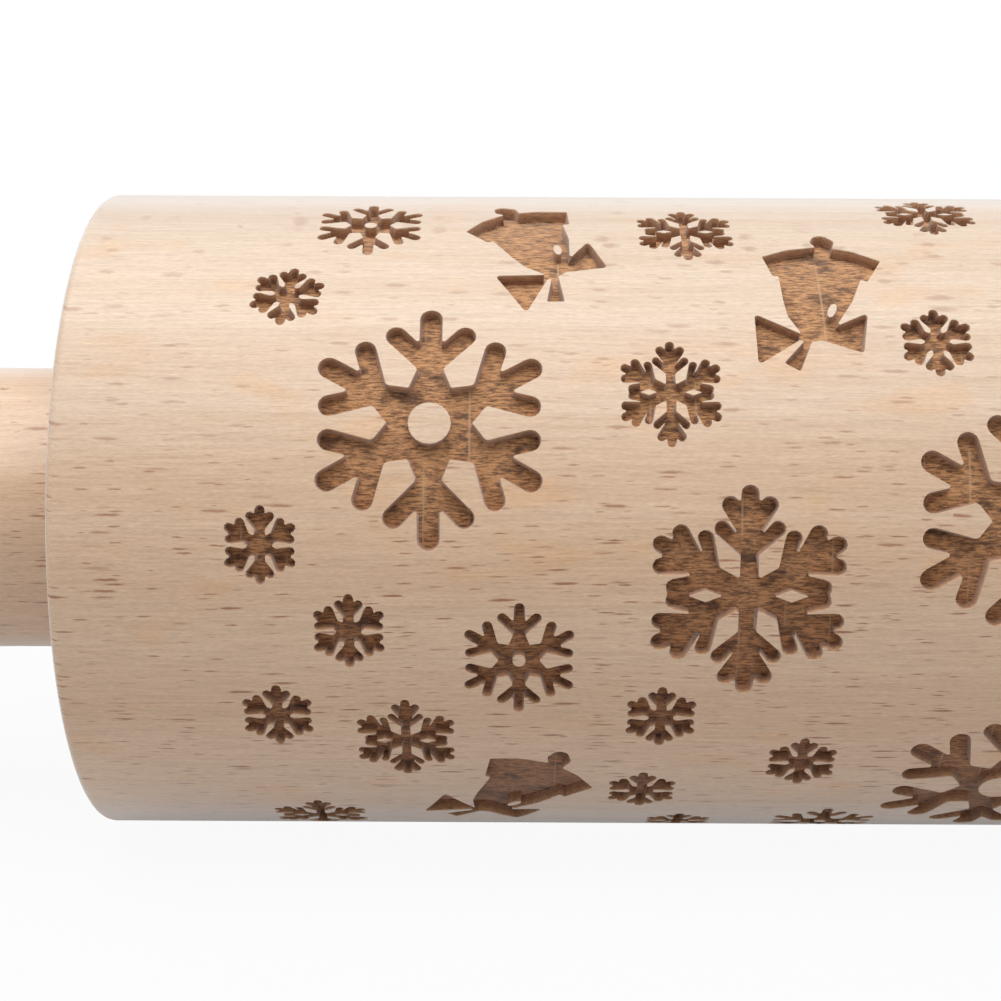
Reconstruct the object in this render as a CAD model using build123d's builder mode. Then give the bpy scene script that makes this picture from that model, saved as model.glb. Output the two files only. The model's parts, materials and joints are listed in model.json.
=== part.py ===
# Engraved beech rolling pin whose barrel turns on a steel rod between two turned handles
# Millimetres, +Z up. The pin lies along X; the origin is under the barrel's middle, on the table.
from build123d import *
from build123d.topology import SkipClean
import math
import os

os.makedirs("parts", exist_ok=True)

# Driving dimensions
barrel_diameter = 60.0
barrel_length = 250.0
barrel_edge_round = 0.8
handle_length = 90.0
handle_neck_diameter = 27.0
handle_neck_length = 9.0
handle_swell_diameter = 32.0
handle_waist_diameter = 26.0
handle_knob_diameter = 30.0
rod_diameter = 8.0
thread_diameter = 6.0

# Running gaps and seats
running_clearance = 0.05
seat_clearance = 0.05
axial_play = 0.2
handle_gap = 0.6
bore_clearance = 0.5
cut_overrun = 1.0

# Bushes and thrust washers at the barrel's ends
bush_flange_diameter = 22.0
bush_flange_thickness = 1.6
bush_body_diameter = 14.0
bush_body_length = 18.0
bush_mouth_chamfer = 0.4
thrust_washer_diameter = 20.0
thrust_washer_thickness = 1.2
recess_clearance = 0.5

# Nut, washer and plug in each handle's outer end
nut_width_across_flats = 10.0
nut_thickness = 5.0
nut_corner_chamfer = 0.6
nut_washer_diameter = 12.0
nut_washer_thickness = 1.6
thread_past_nut = 2.0
socket_diameter = 14.0
socket_depth = 22.0
plug_length = 10.0
plug_dome_height = 2.0
rod_tip_chamfer = 0.6

# Engraving
engraving_depth = 1.0
blank_end = 14.0
tiles_along = 3
tiles_around = 2
large_open_flake_radius = 10.5
large_double_flake_radius = 9.0
medium_open_flake_radius = 5.2
medium_double_flake_radius = 4.7
small_flake_radius = 3.3
bell_height = 16.0
pattern_lift = 10
surface_rings = 20

# Sizes that follow
barrel_radius = barrel_diameter / 2
axis_height = barrel_radius
barrel_end = barrel_length / 2
stack_thickness = bush_flange_thickness + axial_play + thrust_washer_thickness
recess_depth = stack_thickness - handle_gap
recess_diameter = bush_flange_diameter + 2 * recess_clearance
recess_floor = barrel_end - recess_depth
handle_start = barrel_end + handle_gap
handle_end = handle_start + handle_length
socket_floor = handle_end - socket_depth
nut_start = socket_floor + nut_washer_thickness
rod_tip = nut_start + nut_thickness + thread_past_nut
rod_shoulder = handle_start - thrust_washer_thickness
barrel_bore_diameter = rod_diameter + 2 * bore_clearance
floor_radius = barrel_radius - engraving_depth
arm_count = 6
arm_step = math.tau / arm_count
pin_axis = Axis((0, 0, axis_height), (1, 0, 0))


def across(x):
    # Plane square to the pin, at x, with its origin on the pin's axis
    return Plane(origin=(x, 0, axis_height), x_dir=(0, 1, 0), z_dir=(1, 0, 0))


along = Plane(origin=(0, 0, axis_height), x_dir=(1, 0, 0), z_dir=(0, -1, 0))


# Motif outlines
# Half an arm of each flake as (outward, sideways) shares of the flake's radius, from hub to tip
open_arm_shares = [(0.289, 0.167), (0.72, 0.38), (0.86, 0.27), (0.68, 0.09), (1.0, 0)]
double_arm_shares = [(0.15, 0.0866), (0.6, 0.31), (0.59, 0.125), (0.84, 0.235), (1.0, 0)]
medium_open_arm_shares = [(0.2, 0.1155), (0.76, 0.36), (0.68, 0.09), (1.0, 0)]
plain_arm_shares = [(0.3, 0.1732), (1.0, 0)]
# The bell hangs mouth up, with its bow below: (sideways, up) shares of its height
bell_shares = [
    (0.0, 0.37), (-0.14, 0.344), (-0.281, 0.278), (-0.22, 0.112), (-0.191, -0.171), (-0.133, -0.286),
    (-0.356, -0.167), (-0.353, -0.478), (-0.1, -0.33), (0.192, -0.406), (0.233, -0.158),
    (0.108, -0.2), (0.24, 0.08), (0.349, 0.236), (0.11, 0.361), (0.06, 0.46),
]


def mirrored_arm(half_arm_shares, radius, turn):
    # Points of one whole arm, turned about the flake's middle; a tip of no width is one point
    lower = [(out * radius, -side * radius) for out, side in half_arm_shares[1:] if side]
    upper = [(out * radius, side * radius) for out, side in reversed(half_arm_shares)]
    return [
        (x * math.cos(turn) - y * math.sin(turn), x * math.sin(turn) + y * math.cos(turn))
        for x, y in lower + upper
    ]


def flake_outline(half_arm_shares, radius):
    points = []
    for arm in range(arm_count):
        points += mirrored_arm(half_arm_shares, radius, math.tau / 4 + arm * arm_step)
    with BuildSketch() as outline:
        with BuildLine():
            Polyline(*points, close=True)
        make_face()
    return outline.sketch


def bell_outline(height):
    with BuildSketch() as outline:
        with BuildLine():
            Polyline(*[(side * height, up * height) for side, up in bell_shares], close=True)
        make_face()
    return outline.sketch


outlines = {
    "large_open": flake_outline(open_arm_shares, large_open_flake_radius),
    "large_double": flake_outline(double_arm_shares, large_double_flake_radius),
    "medium_open": flake_outline(medium_open_arm_shares, medium_open_flake_radius),
    "medium_double": flake_outline(plain_arm_shares, medium_double_flake_radius),
    "small": flake_outline(plain_arm_shares, small_flake_radius),
    "bell": bell_outline(bell_height),
}

# One tile of the pattern: motif, share of the tile's length, share of its turn, tilt in degrees
tile_place_shares = [
    ("large_open", 0.231, 0.075, 0), ("large_open", 0.893, -0.008, 0), ("large_open", 0.899, -0.297, -6),
    ("large_double", 0.582, -0.073, 0), ("medium_double", 0.297, 0.5, 0),
    ("medium_open", 0.153, 0.314, 0), ("medium_open", 0.331, -0.136, 0), ("medium_open", 0.709, -0.403, 0),
    ("medium_double", 0.526, 0.303, 0), ("medium_double", 0.822, 0.349, 0),
    ("medium_double", 0.497, 0.104, 0), ("medium_double", 0.203, -0.227, 0),
    ("medium_double", 0.091, -0.382, 0), ("medium_double", 0.946, 0.202, 0),
    ("small", 0.066, 0.204, -8), ("small", 0.796, 0.155, 0), ("small", 0.047, -0.032, 0),
    ("small", 0.143, -0.109, 0), ("small", 0.492, -0.197, 0), ("small", 0.059, -0.197, 0),
    ("small", 0.659, -0.256, 0), ("small", 0.478, -0.307, 0), ("small", 0.531, -0.403, 0),
    ("small", 0.101, 0.5, 0), ("small", 0.470, 0.5, 0), ("small", 0.655, 0.5, 0), ("small", 0.932, 0.5, 0),
    ("bell", 0.672, 0.212, 0), ("bell", 0.350, 0.285, 31), ("bell", 0.330, -0.314, -24),
]
tile_length = (barrel_length - 2 * blank_end) / tiles_along
tile_turn = 360 / tiles_around
tile_turn_step_share = 1 / tiles_along


def motif_cutter(motif, tilt):
    # The motif's prism, kept only between the engraved floor and just past the barrel's surface
    with BuildPart() as cutter:
        with BuildSketch(Plane(origin=(0, 0, 0), x_dir=(1, 0, 0), z_dir=(0, -1, 0))):
            add(outlines[motif], rotation=tilt)
        extrude(amount=barrel_diameter)
        with BuildSketch(Plane.YZ):
            Circle(barrel_radius + cut_overrun)
            Circle(floor_radius, mode=Mode.SUBTRACT)
        extrude(amount=barrel_end, both=True, mode=Mode.INTERSECT)
    return cutter.part


def motif_places(length_share, turn_share):
    # Where every copy of one motif goes; each tile along the barrel is turned a little further
    places = []
    for tile in range(tiles_along):
        x = blank_end - barrel_end + (tile + length_share) * tile_length
        for strip in range(tiles_around):
            turn = pattern_lift + (strip + turn_share + tile * tile_turn_step_share) * tile_turn
            places.append(Location((x, 0, axis_height), (-turn, 0, 0)))
    return places


cutters = {}
engraving = []
for motif, length_share, turn_share, tilt in tile_place_shares:
    if (motif, tilt) not in cutters:
        cutters[motif, tilt] = motif_cutter(motif, tilt)
    engraving += [place * cutters[motif, tilt] for place in motif_places(length_share, turn_share)]


# Barrel: one turned piece of beech, bored through, recessed for a flanged bush at each end
# Its surface is laid down in rings that stay apart, so that no one face carries all of the engraving
bore_radius = barrel_bore_diameter / 2
seat_radius = bush_body_diameter / 2 + seat_clearance
seat_floor = recess_floor - bush_body_length - seat_clearance
round_start = barrel_end - barrel_edge_round
ring_length = 2 * seat_floor / surface_rings
with SkipClean():
    with BuildPart() as barrel:
        for ring in range(surface_rings):
            with BuildSketch(across(ring * ring_length - seat_floor)):
                Circle(barrel_radius)
                Circle(bore_radius, mode=Mode.SUBTRACT)
            extrude(amount=ring_length, clean=False)
        for side in (-1, 1):
            with BuildSketch(along):
                with BuildLine():
                    Polyline(
                        (side * round_start, barrel_radius),
                        (side * seat_floor, barrel_radius),
                        (side * seat_floor, seat_radius),
                        (side * recess_floor, seat_radius),
                        (side * recess_floor, recess_diameter / 2),
                        (side * barrel_end, recess_diameter / 2),
                        (side * barrel_end, barrel_radius - barrel_edge_round),
                    )
                    RadiusArc(
                        (side * barrel_end, barrel_radius - barrel_edge_round),
                        (side * round_start, barrel_radius),
                        -side * barrel_edge_round,
                    )
                make_face()
            revolve(axis=pin_axis, clean=False)
        add(engraving, mode=Mode.SUBTRACT, clean=False)
barrel.part.label = "barrel"
export_step(barrel.part, "parts/barrel.step")

# Axle rod: plain between its shoulders, turned down and threaded to take a nut at each end
with BuildPart() as axle_rod:
    with BuildSketch(across(-rod_shoulder)):
        Circle(rod_diameter / 2)
    extrude(amount=2 * rod_shoulder)
    with BuildSketch(across(-rod_tip)):
        Circle(thread_diameter / 2)
    extrude(amount=2 * rod_tip)
    tips = axle_rod.edges().filter_by(GeomType.CIRCLE).sort_by(Axis.X)
    chamfer([tips[0], tips[-1]], rod_tip_chamfer)
axle_rod.part.label = "axle_rod"
export_step(axle_rod.part, "parts/axle_rod.step")


def make_bush(name, side):
    # Flanged plastic bush, glued into the barrel's end, that the rod runs in
    with BuildPart() as bush:
        with BuildSketch(across(side * recess_floor)):
            Circle(bush_flange_diameter / 2)
        extrude(amount=side * bush_flange_thickness)
        with BuildSketch(across(side * recess_floor)):
            Circle(bush_body_diameter / 2)
        extrude(amount=-side * bush_body_length)
        with BuildSketch(across(side * (recess_floor + bush_flange_thickness))):
            Circle(rod_diameter / 2 + running_clearance)
        extrude(amount=-side * (bush_flange_thickness + bush_body_length), mode=Mode.SUBTRACT)
        ends = bush.edges().filter_by(GeomType.CIRCLE).group_by(SortBy.RADIUS)[0]
        chamfer(ends, bush_mouth_chamfer)
    bush.part.label = name
    export_step(bush.part, f"parts/{name}.step")


def make_thrust_washer(name, side):
    # Clamped between the rod's shoulder and the handle; the bush's flange runs against it
    with BuildPart() as washer:
        with BuildSketch(across(side * rod_shoulder)):
            Circle(thrust_washer_diameter / 2)
            Circle(thread_diameter / 2 + seat_clearance, mode=Mode.SUBTRACT)
        extrude(amount=side * thrust_washer_thickness)
    washer.part.label = name
    export_step(washer.part, f"parts/{name}.step")


# Handle stations as shares of the length past the neck, and the end's rim as a share of the knob's wall
swell_share = 0.42
waist_share = 0.76
knob_share = 0.9
rim_share = 1 / 3


def make_handle(name, side):
    # Turned grip: straight neck, swell for the palm, slight waist and a rounded knob
    shaped = handle_length - handle_neck_length
    neck_end = side * (handle_start + handle_neck_length)
    swell_x = neck_end + side * swell_share * shaped
    waist_x = neck_end + side * waist_share * shaped
    knob_x = neck_end + side * knob_share * shaped
    rim_radius = (socket_diameter + rim_share * (handle_knob_diameter - socket_diameter)) / 2
    start = (side * handle_start, handle_neck_diameter / 2)
    with BuildPart() as handle:
        with BuildSketch(along):
            with BuildLine():
                Line((start[0], 0), start)
                Line(start, (neck_end, start[1]))
                Spline(
                    (neck_end, start[1]),
                    (swell_x, handle_swell_diameter / 2),
                    (waist_x, handle_waist_diameter / 2),
                    (knob_x, handle_knob_diameter / 2),
                    (side * handle_end, rim_radius),
                    tangents=[(side, 0), (0, -1)],
                )
                Line((side * handle_end, rim_radius), (side * handle_end, 0))
                Line((side * handle_end, 0), (start[0], 0))
            make_face()
        revolve(axis=pin_axis)
        with BuildSketch(across(side * handle_start)):
            Circle(thread_diameter / 2 + seat_clearance)
        extrude(amount=side * handle_length, mode=Mode.SUBTRACT)
        with BuildSketch(across(side * socket_floor)):
            Circle(socket_diameter / 2)
        extrude(amount=side * socket_depth, mode=Mode.SUBTRACT)
    handle.part.label = name
    export_step(handle.part, f"parts/{name}.step")


def make_nut_washer(name, side):
    with BuildPart() as washer:
        with BuildSketch(across(side * socket_floor)):
            Circle(nut_washer_diameter / 2)
            Circle(thread_diameter / 2 + seat_clearance, mode=Mode.SUBTRACT)
        extrude(amount=side * nut_washer_thickness)
    washer.part.label = name
    export_step(washer.part, f"parts/{name}.step")


def make_nut(name, side):
    # Hexagon nut with its outer corners turned off
    with BuildPart() as nut:
        with BuildSketch(across(side * nut_start)):
            RegularPolygon(nut_width_across_flats / 2, 6, major_radius=False)
        extrude(amount=side * nut_thickness)
        with BuildSketch(across(side * nut_start)):
            Circle(nut_width_across_flats / math.sqrt(3) - nut_corner_chamfer / 2)
        extrude(amount=side * nut_thickness, mode=Mode.INTERSECT)
        with BuildSketch(across(side * nut_start)):
            Circle(thread_diameter / 2 + seat_clearance)
        extrude(amount=side * nut_thickness, mode=Mode.SUBTRACT)
    nut.part.label = name
    export_step(nut.part, f"parts/{name}.step")


def make_end_plug(name, side):
    # Turned beech button that closes the nut's socket; its face is slightly domed
    plug_radius = socket_diameter / 2 - seat_clearance
    dome_radius = (plug_radius**2 + plug_dome_height**2) / (2 * plug_dome_height)
    face_x = side * handle_end
    with BuildPart() as plug:
        with BuildSketch(along):
            with BuildLine():
                inner = face_x - side * plug_length
                Line((face_x + side * plug_dome_height, 0), (inner, 0))
                Line((inner, 0), (inner, plug_radius))
                Line((inner, plug_radius), (face_x, plug_radius))
                RadiusArc(
                    (face_x, plug_radius),
                    (face_x + side * plug_dome_height, 0),
                    side * dome_radius,
                )
            make_face()
        revolve(axis=pin_axis)
    plug.part.label = name
    export_step(plug.part, f"parts/{name}.step")


for side_name, side in (("left", -1), ("right", 1)):
    make_bush(f"{side_name}_bush", side)
    make_thrust_washer(f"{side_name}_thrust_washer", side)
    make_handle(f"{side_name}_handle", side)
    make_nut_washer(f"{side_name}_nut_washer", side)
    make_nut(f"{side_name}_nut", side)
    make_end_plug(f"{side_name}_end_plug", side)

print("overall length", 2 * (handle_end + plug_dome_height))
print("barrel faces", len(barrel.part.faces()), "solids", len(barrel.part.solids()))
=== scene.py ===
import bpy
import json
import math
from mathutils import Matrix, Vector

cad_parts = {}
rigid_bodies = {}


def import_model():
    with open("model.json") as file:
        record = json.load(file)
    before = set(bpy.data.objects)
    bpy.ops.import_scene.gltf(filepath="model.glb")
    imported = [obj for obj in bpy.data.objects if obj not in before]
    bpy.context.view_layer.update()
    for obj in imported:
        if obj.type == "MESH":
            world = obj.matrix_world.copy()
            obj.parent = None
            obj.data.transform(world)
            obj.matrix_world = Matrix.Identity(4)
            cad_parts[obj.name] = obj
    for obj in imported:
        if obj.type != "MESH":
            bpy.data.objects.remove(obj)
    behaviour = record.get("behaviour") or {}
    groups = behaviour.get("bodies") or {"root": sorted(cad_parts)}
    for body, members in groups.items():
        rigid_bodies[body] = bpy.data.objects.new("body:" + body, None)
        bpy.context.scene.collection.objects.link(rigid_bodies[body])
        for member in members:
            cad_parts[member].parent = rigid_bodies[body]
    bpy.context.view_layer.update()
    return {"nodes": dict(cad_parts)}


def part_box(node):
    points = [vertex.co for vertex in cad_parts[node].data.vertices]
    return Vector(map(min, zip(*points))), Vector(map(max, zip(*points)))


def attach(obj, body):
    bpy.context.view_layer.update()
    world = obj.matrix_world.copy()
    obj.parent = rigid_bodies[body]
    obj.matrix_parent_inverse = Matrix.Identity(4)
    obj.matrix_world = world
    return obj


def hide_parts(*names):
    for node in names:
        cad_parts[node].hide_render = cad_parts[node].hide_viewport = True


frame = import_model()
mm = 0.001
print("frame loaded")

# What the frame gives: the barrel's end, radius and girth, and the height of the pin's axis
barrelLow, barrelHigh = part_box("barrel")
barrelRadius = (barrelHigh.z - barrelLow.z) / 2
barrelEnd = barrelHigh.x
axisHeight = (barrelHigh.z + barrelLow.z) / 2
girth = math.tau * barrelRadius

# How near counts as touching, in metres
onPlane = 1e-7
mergeGap = 5e-6
nearBy = 1e-5


def deselectAll():
    bpy.context.view_layer.update()
    for item in bpy.context.view_layer.objects:
        item.select_set(False)


def pick(*items):
    deselectAll()
    for item in items:
        item.select_set(True)
    bpy.context.view_layer.objects.active = items[0]


def joinPieces(items):
    pick(*items)
    if len(items) > 1:
        bpy.ops.object.join()
    return bpy.context.active_object


def settle(piece, name):
    # name the piece and put its place into its mesh
    pick(piece)
    bpy.ops.object.transform_apply(location=True, rotation=True, scale=True)
    piece.name = name
    piece.data.name = name
    return piece


def copyPiece(piece):
    new = piece.copy()
    new.data = piece.data.copy()
    bpy.context.scene.collection.objects.link(new)
    return new


def cutWith(piece, tool):
    # take the tool's shape out of the piece
    modifier = piece.modifiers.new("cut", "BOOLEAN")
    modifier.operation = "DIFFERENCE"
    modifier.solver = "EXACT"
    modifier.object = tool
    pick(piece)
    bpy.ops.object.modifier_apply(modifier=modifier.name)
    bpy.data.objects.remove(tool)
    return piece


def editAll(piece):
    pick(piece)
    bpy.ops.object.mode_set(mode="EDIT")
    bpy.ops.mesh.select_all(action="SELECT")


def objectMode():
    bpy.ops.object.mode_set(mode="OBJECT")


def selectWhere(piece, kind, test):
    # pick edges or faces of one mesh by their place, then go back to edit mode
    editAll(piece)
    bpy.ops.mesh.select_all(action="DESELECT")
    bpy.ops.mesh.select_mode(type=kind)
    objectMode()
    parts = {"EDGE": piece.data.edges, "FACE": piece.data.polygons}[kind]
    for part in parts:
        part.select = test(part)
    bpy.ops.object.mode_set(mode="EDIT")


def mergeAndTurnOut(piece):
    # join what touches and point every face outwards
    editAll(piece)
    bpy.ops.mesh.remove_doubles(threshold=mergeGap)
    bpy.ops.mesh.select_all(action="SELECT")
    bpy.ops.mesh.normals_make_consistent(inside=False)
    objectMode()


# Camera, at the photograph's viewing angle
cameraPlan = {
    "rise": 10.0,  # degrees above the horizontal
    "distance": 5.7997,  # in barrel radii
    "along": 1.2386,  # right of the barrel's left end, in barrel radii
    "focal": 1786.14 / 1001,  # in picture widths
    "yaw": -0.0017,  # radians, as the next two
    "pitch": 0.005,
    "roll": -0.0049,
    "sensor": 36.0,
    "clip": (0.005, 20.0),  # metres
}


def turnPair(first, second, angle):
    # two axes, turned in their plane
    c, s = math.cos(angle), math.sin(angle)
    return c * first - s * second, s * first + c * second


def makeCamera(plan):
    data = bpy.data.cameras.new("photoCamera")
    camera = bpy.data.objects.new("photoCamera", data)
    bpy.context.scene.collection.objects.link(camera)
    data.sensor_width = plan["sensor"]
    data.lens = plan["focal"] * plan["sensor"]
    data.clip_start, data.clip_end = plan["clip"]
    rise = math.radians(plan["rise"])
    right = Vector((1, 0, 0))
    up = Vector((0, math.sin(rise), math.cos(rise)))
    ahead = Vector((0, math.cos(rise), -math.sin(rise)))
    place = Vector((-barrelEnd + plan["along"] * barrelRadius, 0, axisHeight))
    place -= ahead * plan["distance"] * barrelRadius
    right, ahead = turnPair(right, ahead, plan["yaw"])
    up, ahead = turnPair(up, ahead, plan["pitch"])
    right, up = turnPair(right, up, plan["roll"])
    axes = Matrix((right, up, -ahead)).transposed().to_4x4()
    camera.matrix_world = Matrix.Translation(place) @ axes
    bpy.context.scene.camera = camera


makeCamera(cameraPlan)
print("camera placed")

# Barrel: flat slabs are cut with the motifs, laid side by side, wrapped round and closed at their ends.
# Lengths are in millimetres.
barrelPlan = {
    "depth": 1.0,  # of the engraving
    "wallRun": 0.15,  # how far its walls lean in over that depth
    "above": 0.6,  # how far a cutter stands above the wood
    "skin": 3.0,  # thickness of a slab
    "strips": 96,  # flat strips round the barrel
    "blankEnd": 14.0,  # from the barrel's end to the pattern's first tile
    "tilesAlong": 3,
    "tilesAround": 2,
    "lift": 10.0,  # degrees from the barrel's front up to the middle of a tile
    "spare": 4,  # times the widest motif's reach, added to a slab while it is cut
    "endRound": 0.8,
    "roundSteps": 4,
    "faceRing": 20.0,
    "recessRadius": 11.5,
    "recessEdge": 0.2,
    "recessDepth": 2.4,
    "seatRadius": 7.05,
    "seatDepth": 20.45,
    "boreRadius": 4.5,
    "smoothAngle": 32,  # degrees
    "reach": {  # of each motif from its middle
        "largeOpen": 10.6, "largeDouble": 9.1, "mediumOpen": 5.3,
        "mediumDouble": 4.8, "small": 3.4, "bell": 9.8,
    },
}

# Half an arm of each flake, from the notch at the hub to the tip: (outward, sideways, corner radius)
openArm = [
    (3.03, 1.75, 0.1), (4.75, 1.05, 0.4), (7.84, 4.15, 0.9), (9.1, 2.81, 0.9), (7.12, 0.95, 0.15),
    (10.5, 0.95, 0.93),
]
doubleArm = [
    (1.35, 0.78, 0.1), (3.18, 0.75, 0.3), (5.33, 3.21, 0.7), (6.46, 2.22, 0.62), (4.6, 0.74, 0.04),
    (7.46, 2.52, 0.7), (8.44, 1.46, 0.7), (7.45, 0.75, 0.1), (9.0, 0.75, 0.73),
]
smallArm = [
    (0.76, 0.44, 0.1), (1.28, 0.44, 0.2), (2.405, 1.363, 0.38), (2.913, 0.745, 0.35),
    (2.52, 0.42, 0.05), (3.3, 0.42, 0.4),
]
# where two of the double flake's arms meet at its sides, these corners stand in for the first four
doubleMeet = [(5.72, 3.3, 0.05), (6.65, 2.55, 0.72)]
metCorners = 4
# Islands stand in the cut: (sideways, up, radius, sides, stretch upwards, tilt in degrees)
flakePlan = {
    "largeOpen": {"arm": openArm, "size": 1.0, "steps": 4, "islands": [(0, 0, 1.75, 20, 1.0, 0)]},
    "mediumOpen": {"arm": openArm, "size": 0.49, "steps": 3, "islands": [(0, 0, 1.1, 14, 1.0, 0)]},
    "largeDouble": {
        "arm": doubleArm, "size": 1.0, "steps": 3, "meet": doubleMeet,
        "islands": [(-3.5, -0.15, 1.3, 4, 0.38, 0), (3.5, -0.15, 1.3, 4, 0.38, 0)],
    },
    "mediumDouble": {
        "arm": doubleArm, "size": 0.52, "steps": 3, "meet": doubleMeet,
        "islands": [(-3.5, 0, 1.3, 4, 0.38, 0), (3.5, 0, 1.3, 4, 0.38, 0)],
    },
    "small": {"arm": smallArm, "size": 1.0, "steps": 2, "islands": []},
}

# The bell hangs mouth up with its bow below. Its outline's corners are (sideways, up, corner radius),
# and its leaf is given as the islands are.
bellPlan = {
    "outline": [
        (0.3, 5.95, 0.1), (-2.25, 5.5, 1.5), (-4.5, 4.45, 0.1), (-3.83, 1.79, 0.3), (-3.33, 1.79, 0.05),
        (-3.2, -1.2, 3.0), (-2.95, -2.9, 2.0), (-1.95, -4.7, 0.05), (-5.75, -2.6, 0.25),
        (-5.7, -7.7, 0.25), (-2.15, -5.3, 0.05), (-1.8, -5.4, 0.05), (-3.58, -7.5, 0.1),
        (-2.25, -8.25, 0.1), (-1.15, -5.45, 0.1), (-0.3, -5.3, 0.1), (3.07, -6.55, 0.25),
        (3.75, -2.45, 0.25), (1.0, -3.85, 0.1), (2.6, -1.2, 2.0), (3.58, 1.39, 0.1), (4.13, 1.13, 0.1),
        (5.6, 3.85, 0.15), (3.4, 5.25, 1.5), (1.72, 5.75, 0.1), (2.05, 6.9, 0.6), (1.2, 7.9, 0.6),
        (0.3, 7.75, 0.6), (-0.15, 6.7, 0.5),
    ],
    "leaf": (0.79, -2.2, 0.34, 10, 2.3, -22),
    "steps": 3,
}

# One tile of the pattern: motif, share of the tile's length, share of its turn, tilt in degrees
tilePlaces = [
    ("largeOpen", 0.231, 0.075, 0), ("largeOpen", 0.893, -0.008, 0), ("largeOpen", 0.899, -0.297, -6),
    ("largeDouble", 0.582, -0.073, 0), ("mediumDouble", 0.297, 0.5, 0),
    ("mediumOpen", 0.153, 0.314, 0), ("mediumOpen", 0.331, -0.136, 0), ("mediumOpen", 0.709, -0.403, 0),
    ("mediumDouble", 0.526, 0.303, 0), ("mediumDouble", 0.822, 0.349, 0),
    ("mediumDouble", 0.497, 0.104, 0), ("mediumDouble", 0.203, -0.227, 0),
    ("mediumDouble", 0.091, -0.382, 0), ("mediumDouble", 0.946, 0.202, 0),
    ("small", 0.066, 0.204, -8), ("small", 0.796, 0.155, 0), ("small", 0.047, -0.032, 0),
    ("small", 0.143, -0.109, 0), ("small", 0.492, -0.197, 0), ("small", 0.059, -0.197, 0),
    ("small", 0.659, -0.256, 0), ("small", 0.478, -0.307, 0), ("small", 0.531, -0.403, 0),
    ("small", 0.101, 0.5, 0), ("small", 0.470, 0.5, 0), ("small", 0.655, 0.5, 0), ("small", 0.932, 0.5, 0),
    ("bell", 0.672, 0.212, 0), ("bell", 0.350, 0.285, 31), ("bell", 0.330, -0.314, -24),
]

# A corner up to the first radius gets one step, and none is drawn in to less than the second
sharpCorner = 0.12
tightestCorner = 0.02


def roundCorners(corners, steps, inset=0.0):
    # an outline's points, with an arc of a few steps for each corner; the outline may be drawn in
    points = []
    for n, (x, y, radius) in enumerate(corners):
        corner = Vector((x, y))
        count = steps if radius > sharpCorner else 1
        back = (Vector(corners[n - 1][:2]) - corner).normalized()
        on = (Vector(corners[(n + 1) % len(corners)][:2]) - corner).normalized()
        half = back.angle(on) / 2
        inward = (back + on).normalized() / math.sin(half)
        # outlines run anticlockwise, so a right turn is a notch
        notch = back.x * on.y - back.y * on.x > 0
        corner += inward * (-inset if notch else inset)
        radius = radius + inset if notch else max(radius - inset, tightestCorner)
        middle = corner + inward * radius
        first = corner + back * radius / math.tan(half) - middle
        last = corner + on * radius / math.tan(half) - middle
        sweep = first.angle_signed(last)
        for step in range(count + 1):
            turn = -sweep * step / count
            points.append((
                middle.x + first.x * math.cos(turn) - first.y * math.sin(turn),
                middle.y + first.x * math.sin(turn) + first.y * math.cos(turn),
            ))
    return points


def makeCutter(corners, steps, plan):
    # a tool with a drawn outline: straight above the wood, leaning in down to the engraving's floor
    top = roundCorners(corners, steps)
    mesh = bpy.data.meshes.new("cutter")
    mesh.from_pydata([(x * mm, y * mm, 0) for x, y in top], [], [list(range(len(top)))])
    cutter = bpy.data.objects.new("cutter", mesh)
    bpy.context.scene.collection.objects.link(cutter)
    editAll(cutter)
    bpy.ops.mesh.extrude_region_move(TRANSFORM_OT_translate={"value": (0, 0, -plan["depth"] * mm)})
    objectMode()
    low = [vertex for vertex in mesh.vertices if vertex.select]
    for vertex, (x, y) in zip(low, roundCorners(corners, steps, plan["wallRun"])):
        vertex.co.x, vertex.co.y = x * mm, y * mm
    selectWhere(cutter, "FACE", lambda face: abs(face.center.z) < onPlane)
    bpy.ops.mesh.extrude_region_move(TRANSFORM_OT_translate={"value": (0, 0, plan["above"] * mm)})
    bpy.ops.mesh.select_all(action="SELECT")
    bpy.ops.mesh.normals_make_consistent(inside=False)
    objectMode()
    return cutter


def pegAt(island, size, plan):
    # a tool that passes right through a cutter and leaves an island in what it cuts
    x, y, radius, sides, stretch, tilt = island
    bpy.ops.mesh.primitive_cylinder_add(
        vertices=sides, radius=radius * size * mm, depth=2 * plan["skin"] * mm,
        location=(x * size * mm, y * size * mm, 0), rotation=(0, 0, math.radians(tilt)),
    )
    peg = bpy.context.active_object
    peg.scale.y = stretch
    return settle(peg, "peg")


def makeFlake(kind, plan):
    flake = flakePlan[kind]
    size, half, meet = flake["size"], flake["arm"], flake.get("meet")
    corners = []
    for turn in range(6):
        c, s = math.cos(turn * math.pi / 3), math.sin(turn * math.pi / 3)
        # the arms meet right of the third and sixth and left of the second and fifth
        right = meet + half[metCorners:] if meet and turn % 3 == 2 else half
        left = meet + half[metCorners:] if meet and turn % 3 == 1 else half
        outline = [(side, out, r) for out, side, r in right]
        outline += [(-side, out, r) for out, side, r in left[:0:-1]]
        for x, y, r in outline:
            corners.append(((x * c - y * s) * size, (x * s + y * c) * size, r * size))
    cutter = settle(makeCutter(corners, flake["steps"], plan), kind)
    for island in flake["islands"]:
        cutWith(cutter, pegAt(island, size, plan))
    return cutter


def makeBell(plan):
    bell = settle(makeCutter(bellPlan["outline"], bellPlan["steps"], plan), "bell")
    return cutWith(bell, pegAt(bellPlan["leaf"], 1.0, plan))


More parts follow.
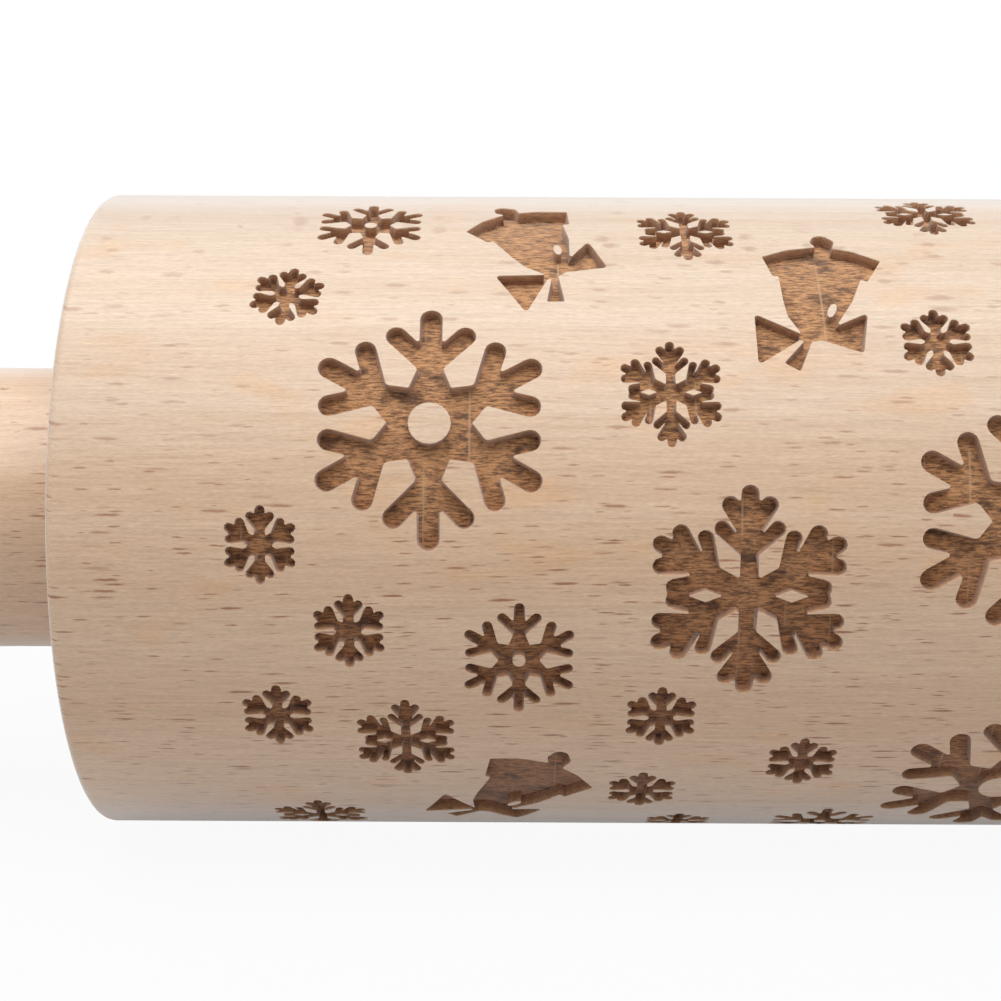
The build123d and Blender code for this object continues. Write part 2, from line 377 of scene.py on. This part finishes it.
def layOutMotifs(cutters, tile, plan):
    # the cutters that one tile of the pattern needs, flat: along the pin in X, round it in Y
    tileLength = 2 * (barrelEnd - plan["blankEnd"] * mm) / plan["tilesAlong"]
    tileGirth = girth / plan["tilesAround"]
    left = plan["blankEnd"] * mm - barrelEnd
    low, high = left + tile * tileLength, left + (tile + 1) * tileLength
    placed = []
    for kind, lengthShare, turnShare, tilt in tilePlaces:
        reach = plan["reach"][kind] * mm
        for near in range(max(tile - 1, 0), min(tile + 2, plan["tilesAlong"])):
            x = left + (near + lengthShare) * tileLength
            if x < low - reach or x > high + reach:
                continue
            turned = (turnShare + near / plan["tilesAlong"]) * tileGirth
            turned -= round(turned / tileGirth) * tileGirth
            for y in (turned - tileGirth, turned, turned + tileGirth):
                if abs(y) < tileGirth / 2 + reach:
                    motif = copyPiece(cutters[kind])
                    motif.location = (x, y, 0)
                    motif.rotation_euler.z = math.radians(tilt)
                    placed.append(motif)
    return settle(joinPieces(placed), "motifs"), low, high


def carveTile(cutters, tile, plan):
    # one flat tile of the barrel's wood, cut with its motifs and open at its back and edges
    motifs, low, high = layOutMotifs(cutters, tile, plan)
    half = barrelEnd - plan["endRound"] * mm
    low = -half if tile == 0 else low
    high = half if tile == plan["tilesAlong"] - 1 else high
    width = girth / plan["tilesAround"]
    # the slab starts larger than the tile, so that no motif crosses its sides, and is trimmed after
    spare = plan["spare"] * max(plan["reach"].values()) * mm
    bpy.ops.mesh.primitive_cube_add(
        size=1, location=((low + high) / 2, 0, -plan["skin"] / 2 * mm),
        scale=(high - low + spare, width + spare, plan["skin"] * mm),
    )
    slab = settle(bpy.context.active_object, "tile")
    cutWith(slab, motifs)
    editAll(slab)
    for side in (-1, 1):
        trim = {"plane_co": (low if side < 0 else high, side * width / 2, 0), "threshold": onPlane}
        for outward in ((side, 0, 0), (0, side, 0)):
            bpy.ops.mesh.select_all(action="SELECT")
            bpy.ops.mesh.bisect(**trim, plane_no=outward, clear_outer=True)
    # strips across the slab, so that it wraps into a round barrel
    strips = plan["strips"] // plan["tilesAround"]
    for strip in range(1, strips):
        line = (0, (strip / strips - 0.5) * width, 0)
        bpy.ops.mesh.select_all(action="SELECT")
        bpy.ops.mesh.bisect(plane_co=line, plane_no=(0, 1, 0), threshold=onPlane)
    objectMode()
    selectWhere(slab, "FACE", lambda face: face.center.z < nearBy - plan["skin"] * mm)
    bpy.ops.mesh.delete(type="FACE")
    objectMode()
    return slab


def makeBarrel(plan):
    cutters = {kind: makeFlake(kind, plan) for kind in flakePlan}
    cutters["bell"] = makeBell(plan)
    print("cutters made", {kind: len(piece.data.polygons) for kind, piece in cutters.items()})
    tiles = []
    for tile in range(plan["tilesAlong"]):
        slab = carveTile(cutters, tile, plan)
        print("tile carved", tile, len(slab.data.polygons), "faces")
        for row in range(1, plan["tilesAround"]):
            twin = copyPiece(slab)
            twin.location.y = row * girth / plan["tilesAround"]
            tiles.append(settle(twin, "tile"))
        tiles.append(slab)
    for piece in cutters.values():
        bpy.data.objects.remove(piece)
    barrel = settle(joinPieces(tiles), "engravedBarrel")
    # wrap it: each point's place round the slab becomes a turn about the pin's axis
    lift = math.radians(plan["lift"])
    for vertex in barrel.data.vertices:
        x, s, z = vertex.co
        turn = s / barrelRadius + lift
        radius = barrelRadius + z
        vertex.co = (x, -radius * math.cos(turn), axisHeight + radius * math.sin(turn))
    mergeAndTurnOut(barrel)
    return barrel


def closeEnd(barrel, side, plan):
    # from the open rim: over the rounded edge, across the end, down the bush's seat and along the bore
    rounding, recess, edge = plan["endRound"], plan["recessRadius"], plan["recessEdge"]
    profile = []
    for step in range(1, plan["roundSteps"] + 1):
        turn = step / plan["roundSteps"] * math.pi / 2
        inward = rounding * (1 - math.sin(turn))
        profile.append((inward, barrelRadius / mm - rounding * (1 - math.cos(turn))))
    profile += [
        (0, plan["faceRing"]), (0, recess + edge), (edge, recess), (plan["recessDepth"], recess),
        (plan["recessDepth"], plan["seatRadius"]), (plan["seatDepth"], plan["seatRadius"]),
        (plan["seatDepth"], plan["boreRadius"]), (barrelEnd / mm, plan["boreRadius"]),
    ]
    rim = barrelEnd - rounding * mm

    def isRim(edge):
        a, b = (barrel.data.vertices[v].co for v in edge.vertices)
        return abs(a.x - side * rim) < nearBy and abs(b.x - side * rim) < nearBy

    selectWhere(barrel, "EDGE", isRim)
    lastX, lastRadius = rim, barrelRadius
    for inward, radius in profile:
        x, radius = barrelEnd - inward * mm, radius * mm
        bpy.ops.mesh.extrude_region_move(TRANSFORM_OT_translate={"value": (side * (x - lastX), 0, 0)})
        k = radius / lastRadius
        bpy.ops.transform.resize(value=(1, k, k), center_override=(0, 0, axisHeight))
        lastX, lastRadius = x, radius
    objectMode()


def finishBarrel(barrel, plan):
    for side in (-1, 1):
        closeEnd(barrel, side, plan)
    mergeAndTurnOut(barrel)
    pick(barrel)
    bpy.ops.object.shade_smooth_by_angle(angle=math.radians(plan["smoothAngle"]))
    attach(barrel, "barrel")
    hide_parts("barrel")
    return barrel


barrel = finishBarrel(makeBarrel(barrelPlan), barrelPlan)
print("barrel made", sum(len(face.vertices) - 2 for face in barrel.data.polygons), "triangles")

# Materials
white = (1.0, 1.0, 1.0)


def newNode(tree, kind, **settings):
    node = tree.nodes.new(kind)
    for name, value in settings.items():
        if name in node.bl_rna.properties:
            setattr(node, name, value)
        else:
            node.inputs[name].default_value = value
    return node


def join(tree, source, target):
    tree.links.new(source, target)


def feed(tree, socket, value):
    # a colour, a number or another node's output
    if isinstance(value, tuple):
        socket.default_value = (*value, 1)
    elif isinstance(value, (int, float)):
        socket.default_value = value
    else:
        join(tree, value, socket)


def calc(tree, operation, first, second=0.0):
    node = newNode(tree, "ShaderNodeMath", operation=operation)
    feed(tree, node.inputs[0], first)
    feed(tree, node.inputs[1], second)
    return node.outputs[0]


def fade(tree, value, low, high, bottom=0.0, top=1.0):
    # a smooth step from bottom to top as the value goes from low to high
    node = newNode(tree, "ShaderNodeMapRange", interpolation_type="SMOOTHSTEP")
    join(tree, value, node.inputs["Value"])
    node.inputs["From Min"].default_value = low
    node.inputs["From Max"].default_value = high
    node.inputs["To Min"].default_value = bottom
    node.inputs["To Max"].default_value = top
    return node.outputs[0]


def blendColour(tree, share, first, second, kind="MIX"):
    node = newNode(tree, "ShaderNodeMix", data_type="RGBA", blend_type=kind)
    feed(tree, node.inputs[0], share)
    feed(tree, node.inputs[6], first)
    feed(tree, node.inputs[7], second)
    return node.outputs[2]


def tinted(tree, colour, share, tints):
    # the colour, multiplied by a blend of two tints
    return blendColour(tree, 1.0, colour, blendColour(tree, share, *tints), "MULTIPLY")


def stretched(tree, place, scale):
    # the place counted in cells, each way by its own scale
    node = newNode(tree, "ShaderNodeVectorMath", operation="MULTIPLY")
    join(tree, place, node.inputs[0])
    node.inputs[1].default_value = scale
    return node.outputs[0]


def noiseAt(tree, place, look, output="Fac"):
    node = newNode(tree, "ShaderNodeTexNoise", Scale=1.0, Detail=look["detail"])
    node.inputs["Roughness"].default_value = look.get("rough", 0.5)
    join(tree, stretched(tree, place, look["scale"]), node.inputs["Vector"])
    return node.outputs[output]


def faded(tree, noise, look):
    # the noise, faded over its span where its plan gives one
    return fade(tree, noise, *look["span"]) if "span" in look else noise


def cellsAt(tree, place, scale):
    node = newNode(tree, "ShaderNodeTexVoronoi", Scale=1.0)
    join(tree, stretched(tree, place, scale), node.inputs["Vector"])
    return node


def shifted(tree, place, look):
    # the place, pushed about by noise
    node = newNode(tree, "ShaderNodeVectorMath", operation="MULTIPLY_ADD")
    join(tree, noiseAt(tree, place, look, "Color"), node.inputs[0])
    node.inputs[1].default_value = look["by"]
    join(tree, place, node.inputs[2])
    return node.outputs[0]


def newMaterial(name):
    material = bpy.data.materials.new(name)
    material.use_nodes = True
    tree = material.node_tree
    return material, tree, tree.nodes["Principled BSDF"]


def addBump(tree, shader, height, strength, depth):
    # fine relief in the shading, its depth in millimetres
    bump = newNode(tree, "ShaderNodeBump", Strength=strength, Distance=depth * mm)
    join(tree, height, bump.inputs["Height"])
    join(tree, bump.outputs[0], shader.inputs["Normal"])


# Beech: place is in millimetres, X along the grain, Y across the rays and Z along them.
# A scale is in cells to the millimetre. A span gives the two levels of noise between which it fades,
# and where it has four numbers, what it fades from and to. Two tints multiply the wood's colour.
beechPlan = {
    "pale": (0.795, 0.580, 0.405),
    "warm": (0.740, 0.510, 0.335),
    "ray": (0.36, 0.155, 0.080),
    "pore": (0.50, 0.31, 0.18),
    "wander": {"scale": (0.02, 0.06, 0.06), "detail": 1.0, "by": (0, 1.6, 1.6)},
    "rings": {"scale": (0.004, 0.05, 0.30), "detail": 3.0, "rough": 0.55, "span": (0.35, 0.65)},
    # The second tint is pale and cool: on the barrel it paints a highlight on the top, on the turned
    # pieces it is an even tone.
    "paleToneAndHighlightTints": ((0.99, 0.97, 0.96), (0.95, 1.02, 1.11)),
    "layers": {
        "tone": {
            "scale": (0.012, 0.05, 0.05), "detail": 1.0,
            "tints": ((0.93, 0.93, 0.93), (1.05, 1.05, 1.05)),
        },
        "fibres": {
            "scale": (0.15, 4.2, 4.2), "detail": 5.0, "rough": 0.7, "span": (0.25, 0.75),
            "tints": ((0.89, 0.86, 0.83), (1.06, 1.07, 1.08)),
        },
        "grain": {
            "scale": (1.6, 8.0, 8.0), "detail": 2.0, "span": (0.3, 0.7),
            "tints": ((0.94, 0.93, 0.92), (1.05, 1.06, 1.07)),
        },
        "clouds": {
            "scale": (0.10, 0.22, 0.22), "detail": 2.0, "span": (0.56, 0.74),
            "tints": (white, (1.02, 0.93, 0.82)),
        },
    },
    "pores": {"scale": (0.22, 3.4, 3.4), "span": (0.24, 0.10, 0.0, 0.35)},
    "fray": {"scale": (1.6, 5.0, 1.2), "detail": 3.0, "by": (0.9, 0.14, 0.4)},
    "rays": [  # reach is a ray's size in its cell, share says how few cells hold one
        {"scale": (0.22, 2.3, 0.14), "reach": (0.16, 0.36), "share": (0.30, 0.75), "strength": 1.0},
        {"scale": (0.38, 3.6, 0.24), "reach": (0.18, 0.36), "share": (0.25, 0.80), "strength": 0.9},
    ],
    "rayCore": 0.35,  # share of a ray that is dark all through
    # The palest wood is the barrel's top, where the pale tint is a painted highlight; the rays fade there
    # with it.
    "raysLeftInFullHighlight": 0.45,  # what is left of the rays in the palest wood
    "rayDip": 0.6,  # how far the rays lie under the fibres, for the bump
}


def addRays(group, place, palenessAndHighlight, plan):
    # the rays' ragged cross-sections: few long ones, many short ones
    frayed = shifted(group, place, plan["fray"])
    rayMask = 0.0
    for row in plan["rays"]:
        cells = cellsAt(group, frayed, row["scale"])
        dice = newNode(group, "ShaderNodeSeparateColor")
        join(group, cells.outputs["Color"], dice.inputs[0])
        reach = fade(group, dice.outputs[1], 0.0, 1.0, *row["reach"])
        core = fade(group, calc(group, "DIVIDE", cells.outputs["Distance"], reach), 1.0, plan["rayCore"])
        chosen = fade(group, dice.outputs[0], *row["share"], 0.0, row["strength"])
        rayMask = calc(group, "MAXIMUM", rayMask, calc(group, "MULTIPLY", core, chosen))
    # the rays fade under the pale tint, which on the barrel is the painted highlight
    return calc(group, "MULTIPLY", rayMask, fade(group, palenessAndHighlight, 0.0, 1.0, 1.0, plan["raysLeftInFullHighlight"]))


def makeBeechGroup(plan):
    group = bpy.data.node_groups.new("beechWood", "ShaderNodeTree")
    group.interface.new_socket("Place", in_out="INPUT", socket_type="NodeSocketVector")
    group.interface.new_socket("PalenessAndHighlight", in_out="INPUT", socket_type="NodeSocketFloat")
    group.interface.new_socket("Colour", in_out="OUTPUT", socket_type="NodeSocketColor")
    group.interface.new_socket("Height", in_out="OUTPUT", socket_type="NodeSocketFloat")
    start = group.nodes.new("NodeGroupInput")
    end = group.nodes.new("NodeGroupOutput")
    palenessAndHighlight = start.outputs["PalenessAndHighlight"]
    place = shifted(group, start.outputs["Place"], plan["wander"])
    rings = faded(group, noiseAt(group, place, plan["rings"]), plan["rings"])
    colour = blendColour(group, rings, plan["pale"], plan["warm"])
    # the pale tint: on the barrel, a painted highlight on the top
    colour = tinted(group, colour, palenessAndHighlight, plan["paleToneAndHighlightTints"])
    noises = {name: noiseAt(group, place, look) for name, look in plan["layers"].items()}
    for name, look in plan["layers"].items():
        colour = tinted(group, colour, faded(group, noises[name], look), look["tints"])
    pores = cellsAt(group, place, plan["pores"]["scale"])
    poreMask = faded(group, pores.outputs["Distance"], plan["pores"])
    colour = blendColour(group, poreMask, colour, plan["pore"])
    rayMask = addRays(group, place, palenessAndHighlight, plan)
    colour = blendColour(group, rayMask, colour, plan["ray"])
    dip = calc(group, "MULTIPLY", rayMask, plan["rayDip"])
    join(group, colour, end.inputs["Colour"])
    join(group, calc(group, "SUBTRACT", noises["fibres"], dip), end.inputs["Height"])
    return group


def addWood(tree, group, plan):
    # object coordinates in millimetres, turned about the pin so that Z runs along the wood's rays
    coordinates = tree.nodes.new("ShaderNodeTexCoord")
    mapping = newNode(tree, "ShaderNodeMapping", vector_type="POINT")
    join(tree, coordinates.outputs["Object"], mapping.inputs["Vector"])
    mapping.inputs["Location"].default_value = plan["offset"]
    mapping.inputs["Rotation"].default_value = (math.radians(plan["turn"]), 0, 0)
    mapping.inputs["Scale"].default_value = (1 / mm, 1 / mm, 1 / mm)
    wood = tree.nodes.new("ShaderNodeGroup")
    wood.node_tree = group
    join(tree, mapping.outputs[0], wood.inputs["Place"])
    return wood, mapping.outputs[0]


# Painted sheen: the colour is paled towards each outline, where the surface turns from view.
paintedSheenPlan = {"span": (0.52, 0.95), "share": 0.55, "colour": (0.98, 0.93, 0.88)}


def withPaintedSheen(tree, colour, whole=1.0):
    # painted sheen: where the surface turns away from view, the colour is paled towards each outline
    turning = newNode(tree, "ShaderNodeLayerWeight", Blend=0.5)
    share = fade(tree, turning.outputs["Facing"], *paintedSheenPlan["span"], 0.0, paintedSheenPlan["share"])
    return blendColour(tree, calc(tree, "MULTIPLY", share, whole), colour, paintedSheenPlan["colour"])


# Turned beech of the handles and plugs; a bump is its strength and its depth in millimetres
# The handles and plugs take an even share of the pale tint that, on the barrel, paints the highlight.
turnedPlan = {"roughness": 0.45, "sheen": 0.42, "palenessAndHighlight": 0.4, "bump": (0.35, 0.05)}
handlePlans = {
    "left": {**turnedPlan, "turn": 75, "offset": (-40, 70, 20)},
    "right": {**turnedPlan, "turn": 110, "offset": (300, -50, 80)},
}
plugPlan = {**turnedPlan, "turn": 20, "offset": (900, 15, 140), "roughness": 0.48}


def makeTurnedBeech(name, group, plan):
    material, tree, shader = newMaterial(name)
    wood, place = addWood(tree, group, plan)
    wood.inputs["PalenessAndHighlight"].default_value = plan["palenessAndHighlight"]
    # painted sheen towards the outline
    join(tree, withPaintedSheen(tree, wood.outputs["Colour"]), shader.inputs["Base Color"])
    shader.inputs["Roughness"].default_value = plan["roughness"]
    shader.inputs["Sheen Weight"].default_value = plan["sheen"]
    addBump(tree, shader, wood.outputs["Height"], *plan["bump"])
    return material


# Engraved beech: heights over the table are in metres, depths under the turned surface in millimetres
engravingPlan = {
    "turn": 68,
    "offset": (0, 0, 0),
    "roughness": 0.42,
    "cutRoughness": 0.9,
    "sheen": 0.42,
    # painted highlight: heights over which the pale tint rises towards the barrel's top
    "paintedHighlightHeights": (0.022, 0.056),
    "plainEnds": (2.2, 2.0),  # millimetres from the barrel's end
    "cutDepths": (0.03, 0.10),
    "floorDepths": (0.8, 0.97),
    "lines": {"scale": (1.1, 6.0, 6.0), "detail": 4.0, "rough": 0.75, "span": (0.36, 0.62)},
    "floorDark": (0.165, 0.074, 0.033),
    "floorLight": (0.66, 0.340, 0.150),
    "patches": {
        "scale": (0.42, 0.75, 0.75), "detail": 3.0, "rough": 0.6, "span": (0.52, 0.72, 0.0, 0.8),
    },
    "spot": (0.060, 0.024, 0.013),
    "seamPitch": 3.7,  # millimetres
    "seamWidth": (0.035, 0.015),  # in pitches
    "seamWear": {"scale": (0.27, 0.16, 0.16), "detail": 1.0, "span": (0.47, 0.62, 0.0, 0.55)},
    "seam": (0.60, 0.40, 0.23),
    # Painted shade: the cut floors are darkened low on the barrel, under these heights.
    "paintedShadeHeights": (0.018, 0.045),
    "paintedLowShade": (0.73, 0.64, 0.59),
    "wallDepths": (0.05, 0.7),
    "wallTop": (0.66, 0.37, 0.19),
    "wallLow": (0.40, 0.200, 0.100),
    "wallSpan": (0.3, 0.7),
    "wallTints": ((0.55, 0.5, 0.48), (1.1, 1.1, 1.1)),
    "woodRelief": 0.25,
    "lineRelief": 1.2,
    "bump": (0.6, 0.08),
}


def depthUnderSurface(tree, parts):
    lift = calc(tree, "SUBTRACT", parts.outputs["Z"], axisHeight)
    across = parts.outputs["Y"]
    square = calc(tree, "ADD", calc(tree, "MULTIPLY", lift, lift), calc(tree, "MULTIPLY", across, across))
    under = calc(tree, "SUBTRACT", barrelRadius, calc(tree, "SQRT", square))
    return calc(tree, "MULTIPLY", under, 1 / mm)


def findSeams(tree, place, parts, plan):
    # thin paler seams across the grain, where one pass of the cutting ends and the next begins
    pitch = calc(tree, "MULTIPLY", parts.outputs["X"], 1 / (plan["seamPitch"] * mm))
    fromSeam = calc(tree, "ABSOLUTE", calc(tree, "SUBTRACT", calc(tree, "FRACT", pitch), 0.5))
    worn = faded(tree, noiseAt(tree, place, plan["seamWear"]), plan["seamWear"])
    return calc(tree, "MULTIPLY", fade(tree, fromSeam, *plan["seamWidth"]), worn)


def makeCutFloor(tree, place, parts, lines, plan):
    # streaks along the grain, scorched patches and seams, with painted shade that darkens them low on the
    # barrel
    floor = blendColour(tree, faded(tree, lines, plan["lines"]), plan["floorDark"], plan["floorLight"])
    patches = faded(tree, noiseAt(tree, place, plan["patches"]), plan["patches"])
    floor = blendColour(tree, patches, floor, plan["spot"])
    floor = blendColour(tree, findSeams(tree, place, parts, plan), floor, plan["seam"])
    # painted shade on the floors low on the barrel
    high = fade(tree, parts.outputs["Z"], *plan["paintedShadeHeights"])
    return tinted(tree, floor, high, (plan["paintedLowShade"], white))


def makeCutWall(tree, depth, lines, plan):
    # darker towards the floor, with the same streaks
    wall = blendColour(tree, fade(tree, depth, *plan["wallDepths"]), plan["wallTop"], plan["wallLow"])
    return tinted(tree, wall, fade(tree, lines, *plan["wallSpan"]), plan["wallTints"])


def makeEngravedBeech(group, plan):
    material, tree, shader = newMaterial("engravedBeech")
    wood, place = addWood(tree, group, plan)
    coordinates = tree.nodes.new("ShaderNodeTexCoord")
    parts = tree.nodes.new("ShaderNodeSeparateXYZ")
    join(tree, coordinates.outputs["Object"], parts.inputs[0])
    # painted highlight: the wood is tinted paler towards the barrel's top
    join(tree, fade(tree, parts.outputs["Z"], *plan["paintedHighlightHeights"]), wood.inputs["PalenessAndHighlight"])
    # the barrel's ends lie deep too, but aren't cuts
    depth = depthUnderSurface(tree, parts)
    ends = [barrelEnd - plain * mm for plain in plan["plainEnds"]]
    inPattern = fade(tree, calc(tree, "ABSOLUTE", parts.outputs["X"]), *ends, 1.0, 0.0)
    cut = calc(tree, "MULTIPLY", fade(tree, depth, *plan["cutDepths"]), inPattern)
    lines = noiseAt(tree, place, plan["lines"])
    floor = makeCutFloor(tree, place, parts, lines, plan)
    wall = makeCutWall(tree, depth, lines, plan)
    scorched = blendColour(tree, fade(tree, depth, *plan["floorDepths"]), wall, floor)
    colour = blendColour(tree, cut, wood.outputs["Colour"], scorched)
    uncut = calc(tree, "SUBTRACT", 1.0, cut)
    # painted sheen on the uncut wood towards the outline
    join(tree, withPaintedSheen(tree, colour, uncut), shader.inputs["Base Color"])
    roughness = fade(tree, cut, 0.0, 1.0, plan["roughness"], plan["cutRoughness"])
    join(tree, roughness, shader.inputs["Roughness"])
    shader.inputs["Sheen Weight"].default_value = plan["sheen"]
    woodRelief = calc(tree, "MULTIPLY", wood.outputs["Height"], plan["woodRelief"])
    lineRelief = calc(tree, "MULTIPLY", calc(tree, "MULTIPLY", lines, cut), plan["lineRelief"])
    addBump(tree, shader, calc(tree, "ADD", woodRelief, lineRelief), *plan["bump"])
    return material


# Rod, washers, nuts and bushes: fine lines or grain in the shine, and clouds between two colours.
# Their scales are in cells to the metre.
steelPlan = {
    "colours": ((0.60, 0.60, 0.61), (0.516, 0.516, 0.5246)),
    "roughness": (0.28, 0.44),
    "metallic": 1.0,
    "fine": {"scale": (30, 6000, 6000), "detail": 3.0, "span": (0.3, 0.7)},
    "clouds": {"scale": (250, 250, 250), "detail": 2.0, "span": (0.3, 0.7)},
    "bump": (0.2, 0.01),
}
zincPlan = {
    **steelPlan,
    "colours": ((0.68, 0.69, 0.71), (0.5848, 0.5934, 0.6106)),
    "roughness": (0.22, 0.38),
    "fine": {"scale": (9000, 300, 300), "detail": 3.0, "span": (0.3, 0.7)},
}
plasticPlan = {
    "colours": ((0.7708, 0.7426, 0.6768), (0.82, 0.79, 0.72)),
    "roughness": (0.39, 0.55),
    "metallic": 0.0,
    "fine": {"scale": (3000, 3000, 3000), "detail": 3.0, "span": (0.3, 0.7)},
    "clouds": {"scale": (150, 150, 150), "detail": 2.0},
    "bump": (0.15, 0.02),
}


def makeFittingFinish(name, plan):
    material, tree, shader = newMaterial(name)
    place = tree.nodes.new("ShaderNodeTexCoord").outputs["Object"]
    fine = noiseAt(tree, place, plan["fine"])
    clouds = faded(tree, noiseAt(tree, place, plan["clouds"]), plan["clouds"])
    join(tree, blendColour(tree, clouds, *plan["colours"]), shader.inputs["Base Color"])
    shader.inputs["Metallic"].default_value = plan["metallic"]
    roughness = fade(tree, fine, *plan["fine"]["span"], *plan["roughness"])
    join(tree, roughness, shader.inputs["Roughness"])
    addBump(tree, shader, fine, *plan["bump"])
    return material


def dress(piece, material):
    piece.data.materials.clear()
    piece.data.materials.append(material)


beech = makeBeechGroup(beechPlan)
dress(barrel, makeEngravedBeech(beech, engravingPlan))
finishes = {
    "axle_rod": makeFittingFinish("drawnSteel", steelPlan),
    "bush": makeFittingFinish("bushPlastic", plasticPlan),
    "thrust_washer": makeFittingFinish("zincWasher", zincPlan),
    "nut": makeFittingFinish("zincNut", zincPlan),
    "end_plug": makeTurnedBeech("plugBeech", beech, plugPlan),
}
finishes["nut_washer"] = finishes["thrust_washer"]
for side, plan in handlePlans.items():
    finishes[side + "_handle"] = makeTurnedBeech(side + "HandleBeech", beech, plan)
for node in frame["nodes"]:
    kind = node if node in finishes else node.split("_", 1)[-1]
    if kind in finishes:
        for slot in bpy.data.objects[node].material_slots:
            slot.material = finishes[kind]
print("materials made")

# Floor, lights and surroundings, in metres and watts
stagePlan = {
    "floorSize": 6.0,
    "floorColour": (0.55, 0.55, 0.56),
    "floorRoughness": 0.9,
    "glow": (0.94, 1.0),
    "glowReach": (0.12, 0.6),
    "top": {"size": (1.1, 0.7), "place": (-0.1, -0.215, 0.69), "power": 7.3},
    "surround": (0.95, 0.97, 1.0),
    "surroundStrength": 0.2,
}


def seenDirectly(tree):
    # what the camera sees, or a shiny piece reflects
    path = tree.nodes.new("ShaderNodeLightPath")
    return calc(tree, "MAXIMUM", path.outputs["Is Camera Ray"], path.outputs["Is Glossy Ray"])


def makeFloor(plan):
    bpy.ops.mesh.primitive_plane_add(size=plan["floorSize"])
    floor = bpy.context.active_object
    floor.name = "floor"
    material, tree, shader = newMaterial("floorWhite")
    shader.inputs["Base Color"].default_value = (*plan["floorColour"], 1)
    shader.inputs["Roughness"].default_value = plan["floorRoughness"]
    glow = tree.nodes.new("ShaderNodeEmission")
    mix = tree.nodes.new("ShaderNodeMixShader")
    # away from the pin the floor fades into the white surroundings
    coordinates = tree.nodes.new("ShaderNodeTexCoord")
    away = newNode(tree, "ShaderNodeVectorMath", operation="LENGTH")
    join(tree, coordinates.outputs["Object"], away.inputs[0])
    whiteness = fade(tree, away.outputs["Value"], *plan["glowReach"], *plan["glow"])
    join(tree, calc(tree, "MULTIPLY", seenDirectly(tree), whiteness), mix.inputs[0])
    join(tree, shader.outputs[0], mix.inputs[1])
    join(tree, glow.outputs[0], mix.inputs[2])
    join(tree, mix.outputs[0], tree.nodes["Material Output"].inputs["Surface"])
    dress(floor, material)


def makeLight(name, plan):
    data = bpy.data.lights.new(name, "AREA")
    data.shape = "RECTANGLE"
    data.size, data.size_y = plan["size"]
    data.energy = plan["power"]
    light = bpy.data.objects.new(name, data)
    light.location = plan["place"]
    aim = Vector((0, 0, axisHeight)) - light.location
    light.rotation_euler = aim.to_track_quat("-Z", "Y").to_euler()
    bpy.context.scene.collection.objects.link(light)


def makeSurround(plan):
    world = bpy.data.worlds.new("studio")
    world.use_nodes = True
    bpy.context.scene.world = world
    tree = world.node_tree
    backdrop = tree.nodes["Background"]
    seen = seenDirectly(tree)
    join(tree, blendColour(tree, seen, plan["surround"], white), backdrop.inputs["Color"])
    join(tree, fade(tree, seen, 0.0, 1.0, plan["surroundStrength"], 1.0), backdrop.inputs["Strength"])


makeFloor(stagePlan)
makeLight("topPanel", stagePlan["top"])
makeSurround(stagePlan)
bpy.context.scene.view_settings.view_transform = "Standard"
print("stage set")
